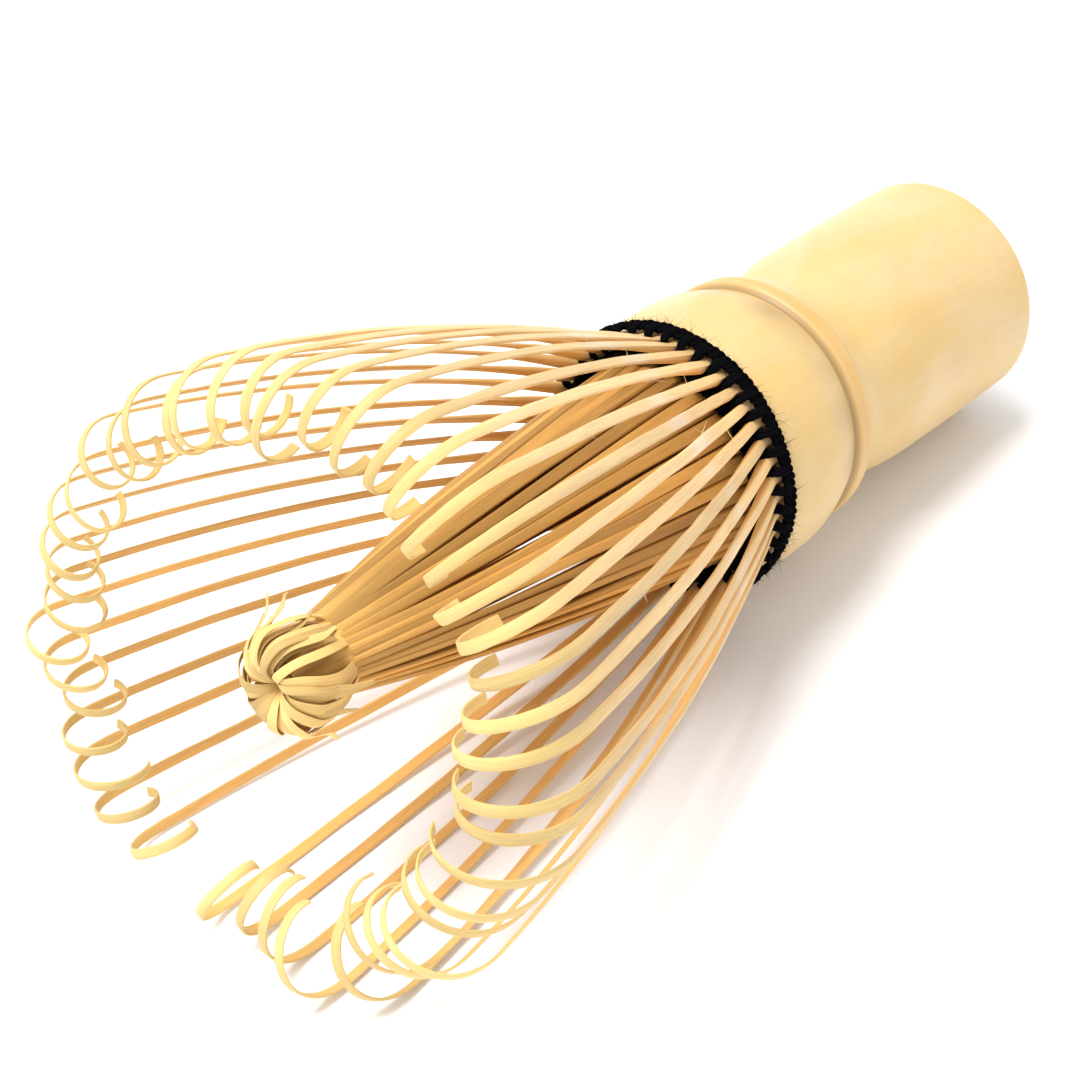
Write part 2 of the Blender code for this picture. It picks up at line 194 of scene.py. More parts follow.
# A tine has one of SPLINTER_COUNTS splinters, each lifted off it by so many degrees. Most lie
# within SPLINTER_SPREAD of where the shaving began.
SPLINTER_COUNTS = (0, 1, 2, 2, 3, 4)
SPLINTER_SPREAD = 5.0
SPLINTER_LENGTHS = (0.5, 1.8)
SPLINTER_LIFTS = (12, 55)
SPLINTER_RADIUS = 0.035
SPLINTER_PAINT = (0.9, 0.7, 0.3, 0.0)
# A splinter or a stray fibre, and the share of its thickness that it loses towards its tip.
HAIR_STEPS = 4
HAIR_SIDES = 3
HAIR_TAPER = 0.8

HANDLE_SEGMENTS = 168
HANDLE_STEP = 0.24
BORE_STEP = 2.0
BORE_STEPS = 15
RIM_STEPS = 4
# How far the culm's skin wanders from a turned shape, broadly and finely, and the most that it
# may stand out.
CULM_WOBBLE = 0.10
CULM_TREMOR = 0.025
LARGEST_CULM_OFFSET = 0.12
# Bands along the culm, whose edges wander by up to BAND_SHIFT: the ridge's own colour, and painted shade
# in the groove and on the collar beside it.
BAND_SHIFT = 0.22
RIDGE_BAND = 1.9
GROOVE_SHADE_BAND = 0.62
# Where the painted shade on the collar beside the groove is strongest, and how far it reaches.
COLLAR_SHADE_STATION = RIDGE_STATION + 3.2
COLLAR_SHADE_BAND = 3.8

INNER_STRIP_STEPS = 46
INNER_ROOT_WIDTH = 1.3
INNER_NECK_WIDTH = 0.98
# How far an inner strip strays outwards and sideways half-way along, and how much it waves.
INNER_LIFT = 0.22
INNER_STRAYING = 0.12
INNER_WAVE = 0.1
SHINGLE_ANGLE = math.radians(24)

YARN_RADIUS = 0.27
YARN_TWIST = 1.5
# In yarn radii: how far each ply lies off the yarn's middle, and the radii of a ply and of a
# strand tucked in between the roots.
PLY_OFFSET = 0.62
PLY_RADIUS = 0.72
TUCKED_RADIUS = 1.15
PLY_SIDES = 6
# Steps of the yarn in one root's pitch.
OUTER_YARN_STEPS = 12
INNER_YARN_STEPS = 8
OUTER_CORD_STATIONS = (THREAD_START + 0.2, THREAD_START + 0.68, THREAD_END - 0.44)
INNER_CORD_ROWS = 6
# Strands tucked in between each root and the next, and the angle between them in radians.
TUCKED_STRANDS = 2
TUCKED_SPREAD = 0.026
TUCKED_STEPS = 14
TUCKED_SIDES = 7
FUZZ_COUNT = 620
FUZZ_RADIUS = 0.028
# The cord's material doesn't read its paint.
CORD_PAINT = (1.0, 0.5, 0.0, 0.0)

# The knot's folded ends, which start KNOT_SWIRL round from where they finish.
KNOT_RIBBONS = 44
KNOT_SWIRL = math.radians(42)
KNOT_STEPS = 34
# The folds leave a wider gap at this angle, through which the core shows.
KNOT_OPENING = math.radians(-35)
KNOT_GAP = math.radians(30)
RIBBON_THICKNESS = 0.13
# How far a few of the folded ends stand off the knot, by their place in it.
STRAY_RIBBONS = {10: 1.9, 12: 2.4, 15: 1.6}
# Every LOOSE_EVERY-th end stands off a little too.
LOOSE_EVERY = 4
LOOSE_STAND_OFF = (0.5, 1.8)
RIBBON_LENGTH = 16.0
RIBBON_WIDTHS = (0.75, 1.2)
PINCH_WIDTH = 0.3
# The last stretch of the inner strips, inside the folds.
CORE_STRIPS = 28
CORE_STEPS = 10
CORE_LENGTH = 6.0
CORE_BULGE = 0.5
CORE_THICKNESS = 0.35
CORE_PINCH_RADIUS = 0.5
CORE_PINCH_WIDTH = 0.35

# Colours, linear RGB.
CULM_YELLOW = (0.66, 0.45, 0.17)
CULM_PALE = (0.68, 0.49, 0.24)
CULM_PINK = (0.60, 0.41, 0.23)
RIDGE_ORANGE = (0.64, 0.38, 0.12)
# Painted shade in the node's groove and on the collar beside it.
GROOVE_SHADE_BROWN = (0.30, 0.18, 0.07)
CUT_FACE = (0.62, 0.46, 0.23)
CUT_PORES = (0.34, 0.20, 0.07)
CORD_BLACK = (0.002, 0.002, 0.003)
CORD_GREY = (0.004, 0.004, 0.005)
TINE_SKIN = (0.77, 0.535, 0.26)
TINE_FLESH = (0.84, 0.49, 0.16)
TINE_PATCH = (0.80, 0.64, 0.47)
# Painted light shining through the thin curl of an outer tine.
TINE_CURL_GLOW = (0.78, 0.57, 0.21)
INNER_SKIN = (0.76, 0.45, 0.13)
INNER_FLESH = (0.60, 0.29, 0.06)
KNOT_PALE = (0.82, 0.61, 0.25)
FLOOR_WHITE = (0.94, 0.94, 0.96)
# How far the tones of neighbouring strips differ.
OUTER_CONTRAST = 0.14
INNER_CONTRAST = 0.38


def smooth_step(value):
    value = min(max(value, 0.0), 1.0)
    return value * value * (3.0 - 2.0 * value)


def blend(first, second, share):
    return first + (second - first) * share


def bump(value, centre, half_width):
    """A smooth hill of height 1 at centre, gone at half_width to either side."""
    return smooth_step(1.0 - abs(value - centre) / half_width)


def smooth_curve(knots, share):
    """Catmull-Rom curve through equally spaced knots, which are vectors."""
    last = len(knots) - 1
    place = min(max(share, 0.0), 1.0) * last
    index = min(int(place), last - 1)
    t = place - index
    before = knots[max(index - 1, 0)]
    start = knots[index]
    end = knots[index + 1]
    after = knots[min(index + 2, last)]
    return 0.5 * (
        2 * start
        + (end - before) * t
        + (2 * before - 5 * start + 4 * end - after) * t * t
        + (3 * start - before - 3 * end + after) * t * t * t
    )


def around(angle):
    """Unit vector away from the whisk's axis, angle from local X towards local Y."""
    return Vector((math.cos(angle), math.sin(angle), 0.0))


def whisk_to_world():
    """Place of the whisk's own frame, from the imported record's joint and mount."""
    sway = next(joint for joint in frame["joints"] if joint["name"] == "inner_bundle_sway")
    axis = -Vector(frame["record"]["mounts"][0]["axis"]).normalized()
    level = Vector(sway["axis"]).normalized()
    up = level.cross(axis)
    origin = Vector(sway["pos_m"]) - axis * SWAY_STATION * MM
    return Matrix.Translation(origin) @ Matrix((up, level, axis)).transposed().to_4x4()


WHISK = whisk_to_world()


class Surface:
    """Gathers one piece's points and faces, and what its material reads at each point.

    fibre is a place in millimetres whose Z runs along the bamboo's fibres. paint holds four
    shares, which each material explains."""

    def __init__(self):
        self.points = []
        self.faces = []
        self.fibre = []
        self.paint = []

    def point(self, place, fibre, paint):
        """Add a point and give back its number."""
        self.points.append(place)
        self.fibre.append(fibre)
        self.paint.append(paint)
        return len(self.points) - 1

    def bridge(self, ring, following):
        """Faces between two rings of as many points each."""
        count = len(ring)
        for index in range(count):
            other = (index + 1) % count
            self.faces.append((ring[index], ring[other], following[other], following[index]))

    def tube_of_rings(self, rings):
        """Join each ring of points to the next, and close both ends."""
        for ring, following in zip(rings, rings[1:]):
            self.bridge(ring, following)
        self.faces.append(tuple(reversed(rings[0])))
        self.faces.append(tuple(rings[-1]))

    def make(self, name, material, place, body, nodes, sharp_angle=STRIP_SHARP_ANGLE):
        """Turn the points into an object that rides on a body and stands for CAD nodes."""
        mesh = bpy.data.meshes.new(name)
        mesh.from_pydata([place @ (point * MM) for point in self.points], [], self.faces)
        fibre = mesh.attributes.new("fibre", "FLOAT_VECTOR", "POINT")
        fibre.data.foreach_set("vector", [value for vector in self.fibre for value in vector])
        paint = mesh.attributes.new("paint", "FLOAT_COLOR", "POINT")
        paint.data.foreach_set("color", [value for shares in self.paint for value in shares])
        mesh.materials.append(material)
        mesh.shade_smooth()
        mesh.set_sharp_from_angle(angle=sharp_angle)
        mesh.update()
        piece = bpy.data.objects.new(name, mesh)
        bpy.context.scene.collection.objects.link(piece)
        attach(piece, body)
        if nodes:
            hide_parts(*nodes)


def add_strip(surface, sections, layer):
    """Close one bamboo strip over its sections.

    A section is (centre, side, face, width, thickness, length, paint): side and face are unit
    vectors across the strip and out of its skin, and paint is (skin, tone, patch, curl), where
    the strip's own skin share is multiplied by the outline's."""
    rings = []
    for centre, side, face, width, thickness, length, paint in sections:
        # On the outer tines curl is the share of painted light that shines through the thin curl; on the
        # rosette it is the share of the knot's own pale colour.
        skin, tone, patch, curl = paint
        ring = []
        for across, through, skin_share in STRIP_OUTLINE:
            place = centre + side * (across * width / 2) + face * (through * thickness / 2)
            fibre = (across * width / 2, through * thickness / 2 + layer * LAYER_SPACING, length)
            ring.append(surface.point(place, fibre, (skin * skin_share, tone, patch, curl)))
        rings.append(ring)
    surface.tube_of_rings(rings)


def add_hair(surface, start, direction, bend, length, radius, paint):
    """A tapering hair that starts along direction and bends towards bend."""
    rings = []
    across = direction.orthogonal().normalized()
    for step in range(HAIR_STEPS + 1):
        share = step / HAIR_STEPS
        centre = start + direction * (length * share) + bend * (length * share * share)
        size = radius * (1.0 - HAIR_TAPER * share)
        other = direction.cross(across).normalized()
        ring = []
        for index in range(HAIR_SIDES):
            turn = 2 * math.pi * index / HAIR_SIDES
            place = centre + (across * math.cos(turn) + other * math.sin(turn)) * size
            ring.append(surface.point(place, tuple(centre), paint))
        rings.append(ring)
    surface.tube_of_rings(rings)


# ---------------------------------------------------------------- materials

class Nodes:
    """A material's node tree, with short ways to add the nodes these materials share."""

    def __init__(self, name):
        self.material = bpy.data.materials.new(name)
        self.material.use_nodes = True
        self.tree = self.material.node_tree
        self.shader = self.tree.nodes["Principled BSDF"]

    def add(self, kind, **settings):
        node = self.tree.nodes.new(kind)
        for name, value in settings.items():
            setattr(node, name, value)
        return node

    def link(self, source, target):
        self.tree.links.new(source, target)

    def attribute(self, name):
        return self.add("ShaderNodeAttribute", attribute_name=name)

    def paint(self):
        """Sockets of the four paint shares."""
        attribute = self.attribute("paint")
        split = self.add("ShaderNodeSeparateColor")
        self.link(attribute.outputs["Color"], split.inputs[0])
        return split.outputs[0], split.outputs[1], split.outputs[2], attribute.outputs["Alpha"]

    def stretched(self, stretch):
        """The fibre place scaled by stretch on each axis."""
        mapping = self.add("ShaderNodeMapping")
        mapping.inputs["Scale"].default_value = stretch
        self.link(self.attribute("fibre").outputs["Vector"], mapping.inputs["Vector"])
        return mapping.outputs["Vector"]

    def noise(self, stretch, detail=2.0, roughness=0.5):
        texture = self.add("ShaderNodeTexNoise")
        texture.inputs["Scale"].default_value = 1.0
        texture.inputs["Detail"].default_value = detail
        texture.inputs["Roughness"].default_value = roughness
        self.link(self.stretched(stretch), texture.inputs["Vector"])
        return texture.outputs["Fac"]

    def ranged(self, value, low, high, new_low, new_high):
        """Map low..high to new_low..new_high, and hold it there beyond them."""
        node = self.add("ShaderNodeMapRange")
        node.inputs["From Min"].default_value = low
        node.inputs["From Max"].default_value = high
        node.inputs["To Min"].default_value = new_low
        node.inputs["To Max"].default_value = new_high
        self.link(value, node.inputs["Value"])
        return node.outputs["Result"]

    def times(self, first, second):
        """Product of two sockets."""
        node = self.add("ShaderNodeMath", operation="MULTIPLY")
        self.link(first, node.inputs[0])
        self.link(second, node.inputs[1])
        return node.outputs[0]

    def mix(self, factor, first, second):
        """Mix two colours, each a socket or an RGB triple."""
        node = self.add("ShaderNodeMix", data_type="RGBA")
        self.link(factor, node.inputs[0])
        for socket, colour in ((node.inputs[6], first), (node.inputs[7], second)):
            if isinstance(colour, tuple):
                socket.default_value = colour + (1.0,)
            else:
                self.link(colour, socket)
        return node.outputs[2]

    def brightened(self, colour, value):
        """Multiply a colour by a value."""
        node = self.add("ShaderNodeVectorMath", operation="SCALE")
        self.link(colour, node.inputs[0])
        self.link(value, node.inputs["Scale"])
        return node.outputs[0]

    def bumped(self, height, strength, distance):
        """Let the shader's normal follow height."""
        node = self.add("ShaderNodeBump")
        node.inputs["Strength"].default_value = strength
        node.inputs["Distance"].default_value = distance
        self.link(height, node.inputs["Height"])
        self.link(node.outputs["Normal"], self.shader.inputs["Normal"])


def strip_material(name, skin_colour, flesh_colour, patch_colour, curl_glow_and_knot_colour, contrast):
    """Split bamboo. Paint: skin, tone, shaved patch, curl: painted light shining through the outer tines'
    thin curls, and the knot's own pale colour on the inner strips. Contrast is how far tones differ.
    """
    nodes = Nodes(name)
    skin, tone, patch, curl = nodes.paint()
    fine = nodes.noise((6.5, 6.5, 0.22), detail=3.0, roughness=0.6)
    broad = nodes.noise((0.9, 0.9, 0.1), detail=2.0)
    colour = nodes.mix(skin, flesh_colour, skin_colour)
    colour = nodes.mix(nodes.times(patch, skin), colour, patch_colour)
    # Painted light shining through the outer tines' thin curls; on the inner strips, the knot's own pale
    # colour.
    colour = nodes.mix(curl, colour, curl_glow_and_knot_colour)
    colour = nodes.brightened(colour, nodes.ranged(fine, 0.3, 0.7, 0.86, 1.06))
    colour = nodes.brightened(colour, nodes.ranged(broad, 0.3, 0.7, 0.93, 1.05))
    colour = nodes.brightened(colour, nodes.ranged(tone, 0.0, 1.0, 1.0 - contrast, 1.0 + contrast / 2))
    nodes.link(colour, nodes.shader.inputs["Base Color"])
    nodes.link(nodes.ranged(fine, 0.3, 0.7, 0.62, 0.44), nodes.shader.inputs["Roughness"])
    nodes.shader.inputs["Specular IOR Level"].default_value = 0.25
    nodes.bumped(fine, 0.5, 0.04 * MM)
    return nodes.material


def culm_material():
    """The handle's polished culm. Paint: skin, ridge, painted shade in and beside the groove, sawn or
    bored face.
    """
    nodes = Nodes("polished_culm")
    skin, ridge, groove, cut = nodes.paint()
    fine = nodes.noise((5.0, 5.0, 0.07), detail=3.0, roughness=0.6)
    clouds = nodes.noise((0.16, 0.16, 0.09), detail=3.0, roughness=0.55)
    blotches = nodes.noise((0.3, 0.3, 0.22), detail=4.0, roughness=0.65)
    colour = nodes.mix(nodes.ranged(clouds, 0.38, 0.64, 0.0, 1.0), CULM_YELLOW, CULM_PALE)
    colour = nodes.mix(nodes.ranged(blotches, 0.52, 0.8, 0.0, 0.55), colour, CULM_PINK)
    colour = nodes.mix(ridge, colour, RIDGE_ORANGE)
    # Painted shade in the groove and on the collar beside it.
    colour = nodes.mix(groove, colour, GROOVE_SHADE_BROWN)
    pores = nodes.add("ShaderNodeTexVoronoi")
    pores.inputs["Scale"].default_value = 1.0
    nodes.link(nodes.stretched((1.9, 1.9, 0.02)), pores.inputs["Vector"])
    face = nodes.mix(nodes.ranged(pores.outputs["Distance"], 0.12, 0.34, 1.0, 0.0), CUT_FACE, CUT_PORES)
    colour = nodes.mix(cut, colour, face)
    colour = nodes.brightened(colour, nodes.ranged(fine, 0.3, 0.7, 0.965, 1.02))
    nodes.link(colour, nodes.shader.inputs["Base Color"])
    nodes.link(nodes.ranged(blotches, 0.3, 0.7, 0.34, 0.46), nodes.shader.inputs["Roughness"])
    nodes.shader.inputs["Specular IOR Level"].default_value = 0.45
    nodes.bumped(fine, 0.25, 0.03 * MM)
    return nodes.material


def cord_material():
    """Black cotton cord."""
    nodes = Nodes("black_cord")
    grain = nodes.noise((9.0, 9.0, 9.0), detail=2.0)
    colour = nodes.mix(nodes.ranged(grain, 0.35, 0.7, 0.0, 1.0), CORD_BLACK, CORD_GREY)
    nodes.link(colour, nodes.shader.inputs["Base Color"])
    nodes.shader.inputs["Roughness"].default_value = 1.0
    nodes.shader.inputs["Specular IOR Level"].default_value = 0.03
    nodes.bumped(grain, 0.4, 0.05 * MM)
    return nodes.material


# ---------------------------------------------------------------- handle

def culm_outline():
    """(radius, station) of the culm's outside, from the butt's rim to where the splits begin."""
    knots = [
        (BUTT_RADIUS, RIM_ROUND),
        (BUTT_RADIUS + 0.05, RIDGE_STATION * 0.2),
        (GRIP_RADIUS, RIDGE_STATION * 0.4),
        (GRIP_RADIUS, RIDGE_STATION * 0.62),
        (blend(GRIP_RADIUS, WAIST_RADIUS, 0.6), RIDGE_STATION * 0.76),
        (WAIST_RADIUS, RIDGE_STATION - 5.0),
        (blend(WAIST_RADIUS, RIDGE_RADIUS, 0.42), RIDGE_STATION - 2.3),
        (RIDGE_RADIUS - 0.10, RIDGE_STATION - RIDGE_HALF_WIDTH),
        (RIDGE_RADIUS, RIDGE_STATION),
        (RIDGE_RADIUS, RIDGE_STATION + RIDGE_HALF_WIDTH * 0.7),
        (GROOVE_RADIUS - 0.05, RIDGE_STATION + RIDGE_HALF_WIDTH * 1.25),
        (GROOVE_RADIUS, RIDGE_STATION + RIDGE_HALF_WIDTH * 1.8),
        (blend(GROOVE_RADIUS, COLLAR_RADIUS, 0.55), RIDGE_STATION + 3.6),
        (blend(GROOVE_RADIUS, COLLAR_RADIUS, 0.92), RIDGE_STATION + 5.6),
        (COLLAR_RADIUS, COLLAR_STATION),
        (COLLAR_RADIUS - 0.03, COLLAR_STATION + 1.8),
        (blend(SPLIT_RADIUS, COLLAR_RADIUS, 0.62), COLLAR_STATION + 3.9),
        (SPLIT_RADIUS, SPLIT_STATION),
    ]
    curve = [Vector((radius, station)) for radius, station in knots]
    count = round((SPLIT_STATION - RIM_ROUND) / HANDLE_STEP)
    return [tuple(smooth_curve(curve, step / count)) for step in range(count + 1)]


def culm_rings():
    """The whole half-section: (radius, station, share of cut face), bore first, front cup last."""
    rings = [(0.02, BORE_DEPTH, 1.0), (BORE_RADIUS - 0.5, BORE_DEPTH, 1.0)]
    rings += [(BORE_RADIUS, BORE_DEPTH - 0.6 - step * BORE_STEP, 1.0) for step in range(BORE_STEPS)]
    for step in range(RIM_STEPS + 1):
        turn = math.pi / 2 * step / RIM_STEPS
        radius = BORE_RADIUS + RIM_ROUND * (1 - math.cos(turn))
        rings.append((radius, RIM_ROUND * (1 - math.sin(turn)), 1.0))
    rings.append((blend(BORE_RADIUS, BUTT_RADIUS, 0.35), 0.0, 1.0))
    rings.append((blend(BORE_RADIUS, BUTT_RADIUS, 0.65), 0.0, 1.0))
    for step in range(RIM_STEPS + 1):
        turn = math.pi / 2 * step / RIM_STEPS
        radius = BUTT_RADIUS - RIM_ROUND * (1 - math.sin(turn))
        rings.append((radius, RIM_ROUND * (1 - math.cos(turn)), 1.0 - step / RIM_STEPS))
    rings += [(radius, station, 0.0) for radius, station in culm_outline()[1:]]
    cup_floor = BORE_DEPTH + DIAPHRAGM_THICKNESS
    rings += [
        (SPLIT_RADIUS - 0.5, SPLIT_STATION, 1.0),
        (CUP_RADIUS, SPLIT_STATION, 1.0),
        (CUP_RADIUS, blend(cup_floor, SPLIT_STATION, 0.5), 1.0),
        (CUP_RADIUS, cup_floor, 1.0),
        (0.02, cup_floor, 1.0),
    ]
    return rings


def make_handle(material):
    """The culm, with its bore, ridge and collar, slightly out of true all round."""
    surface = Surface()
    rings = []
    groove_station = RIDGE_STATION + RIDGE_HALF_WIDTH * 1.3
    for radius, station, cut in culm_rings():
        ring = []
        for index in range(HANDLE_SEGMENTS):
            angle = 2 * math.pi * index / HANDLE_SEGMENTS
            out = around(angle)
            wobble = noise.noise(Vector((out.x * 1.3, out.y * 1.3, station * 0.06)))
            tremor = noise.noise(Vector((out.x * 5, out.y * 5, station * 0.35 + 7.0)))
            offset = (CULM_WOBBLE * wobble + CULM_TREMOR * tremor) * (0.0 if cut > 0.5 else 1.0)
            shift = BAND_SHIFT * noise.noise(Vector((out.x * 2.1, out.y * 2.1, 40.0)))
            on_ridge = bump(station, RIDGE_STATION - 0.2 + shift * 0.5, RIDGE_BAND) * (1.0 - cut)
            on_ridge *= 0.85 + 0.3 * noise.noise(Vector((out.x * 4, out.y * 4, 11.0)))
            # Painted shade: a dark line in the groove below the ridge.
            groove_shade = bump(station, groove_station + shift * 0.2, GROOVE_SHADE_BAND) * (1.0 - cut) * 0.9
            # Painted shade on the collar beside the groove, where the collar narrows, made patchy.
            collar_shade = bump(station, COLLAR_SHADE_STATION, COLLAR_SHADE_BAND) * (1.0 - cut)
            collar_shade *= 0.2 + 0.6 * noise.noise(Vector((out.x * 3, out.y * 3, 23.0)))
            groove_shade = max(groove_shade, collar_shade)
            place = out * min(radius + offset, radius + LARGEST_CULM_OFFSET)
            place.z = station
            fibre = (place.x, place.y, station)
            ring.append(surface.point(place, fibre, (1.0 - cut, on_ridge, groove_shade, cut)))
        rings.append(ring)
    surface.tube_of_rings(rings)
    surface.make("handle_culm", material, WHISK, "handle", ["handle"], CULM_SHARP_ANGLE)


# ---------------------------------------------------------------- thread

def add_tube(surface, path, radius, sides, closed):
    """A tube along path, a list of vectors. A closed path joins its end to its start."""
    count = len(path)
    rings = []
    for index, centre in enumerate(path):
        before = path[index - 1] if closed or index > 0 else centre
        after = path[(index + 1) % count] if closed or index < count - 1 else centre
        tangent = (after - before).normalized()
        out = Vector((centre.x, centre.y, 0.0))
        across = (out - tangent * out.dot(tangent)).normalized()
        other = tangent.cross(across)
        ring = []
        for corner in range(sides):
            turn = 2 * math.pi * corner / sides
            place = centre + (across * math.cos(turn) + other * math.sin(turn)) * radius
            ring.append(surface.point(place, tuple(place), CORD_PAINT))
        rings.append(ring)
    if closed:
        for index in range(count):
            surface.bridge(rings[index], rings[(index + 1) % count])
    else:
        surface.tube_of_rings(rings)


def add_wound_yarn(surface, route, turns, steps):
    """Two plies twisted round a closed route, route(angle) -> (radius, station)."""
    for ply in range(2):
        path = []
        for step in range(steps):
            angle = 2 * math.pi * step / steps
            radius, station = route(angle)
            twist = turns * angle + math.pi * ply
            radius += YARN_RADIUS * PLY_OFFSET * math.cos(twist)
            station += YARN_RADIUS * PLY_OFFSET * math.sin(twist)
            place = around(angle) * radius
            place.z = station
            path.append(place)
        add_tube(surface, path, YARN_RADIUS * PLY_RADIUS, PLY_SIDES, closed=True)


def make_outer_cord(material):
    """Turns of yarn round the roots, with a loop tucked in between each root and the next."""
    surface = Surface()
    middle = (THREAD_INNER_RADIUS + THREAD_OUTER_RADIUS) / 2
    turns = round(2 * math.pi * middle / YARN_TWIST)
    for row, station in enumerate(OUTER_CORD_STATIONS):

        def route(angle, row=row, station=station):
            sway = 0.05 * math.sin(OUTER_COUNT * angle + row) + 0.04 * math.sin(7 * angle + 2 * row)
            return middle - 0.06 + sway, station + 0.06 * math.sin(5 * angle + row)
        add_wound_yarn(surface, route, turns, OUTER_COUNT * OUTER_YARN_STEPS)
    pitch = 2 * math.pi / OUTER_COUNT
    for index in range(TUCKED_STRANDS * OUTER_COUNT):
        gap, strand = divmod(index, TUCKED_STRANDS)
        angle = GAP_ANGLE + pitch * gap + (strand - 0.5) * TUCKED_SPREAD
        reach = THREAD_END + 0.7 - 0.45 * strand
        knots = [
            around(angle - 0.02) * (middle + 0.08) + Vector((0, 0, THREAD_START + 0.7)),
            around(angle - 0.01) * (middle + 0.02) + Vector((0, 0, THREAD_END + 0.2)),
            around(angle) * (ROOT_RADIUS + 0.35) + Vector((0, 0, reach)),
            around(angle) * (WEAVE_OUTER_RADIUS + 0.25) + Vector((0, 0, reach + 0.3)),
            around(angle) * (WEAVE_OUTER_RADIUS - 0.3) + Vector((0, 0, THREAD_END + 0.4)),
        ]
        path = [smooth_curve(knots, step / TUCKED_STEPS) for step in range(TUCKED_STEPS + 1)]
        add_tube(surface, path, YARN_RADIUS * TUCKED_RADIUS, TUCKED_SIDES, closed=False)
    nodes = ["thread_outer_wrap"]
    surface.make("thread_cord", material, WHISK, "handle", nodes, CORD_SHARP_ANGLE)


def make_inner_cord(material):
    """Rows of yarn between the outer roots and the inner tines."""
    surface = Surface()
    middle = (WEAVE_INNER_RADIUS + WEAVE_OUTER_RADIUS) / 2
    turns = round(2 * math.pi * middle / YARN_TWIST)
    for row in range(INNER_CORD_ROWS):
        station = blend(WEAVE_START + 0.3, WEAVE_END - 0.35, row / (INNER_CORD_ROWS - 1))

        def route(angle, row=row, station=station):
            weave = 0.12 * math.cos(OUTER_COUNT / 2 * angle + math.pi * row)
            return middle + weave, station + 0.05 * math.sin(9 * angle + row)
        add_wound_yarn(surface, route, turns, OUTER_COUNT * INNER_YARN_STEPS)
    nodes = ["thread_inner_weave"]
    surface.make("thread_weave_cord", material, WHISK, "handle", nodes, CORD_SHARP_ANGLE)


def make_fuzz(material):
    """Short stray fibres standing off the wound cord."""
    surface = Surface()
    chance = random.Random(FUZZ_SEED)
    for _ in range(FUZZ_COUNT):
        angle = chance.uniform(0, 2 * math.pi)
        out = around(angle)
        along = Vector((-out.y, out.x, 0.0))
        start = out * (THREAD_OUTER_RADIUS - 0.25)
        start.z = THREAD_START + 0.15 + chance.random() ** 1.6 * (THREAD_END - THREAD_START - 0.3)
        direction = out * chance.uniform(0.25, 1.0) + along * chance.gauss(0, 0.6)
        direction.z = chance.uniform(-1.3, 0.25)
        direction.normalize()
        bend = (along * chance.gauss(0, 0.5) + out * chance.gauss(0, 0.3)) * 0.7
        length = chance.uniform(0.25, 0.75) + chance.random() ** 6 * 1.1
        add_hair(surface, start, direction, bend, length, FUZZ_RADIUS, CORD_PAINT)
    surface.make("thread_fuzz", material, WHISK, "handle", [])


# ---------------------------------------------------------------- outer tines

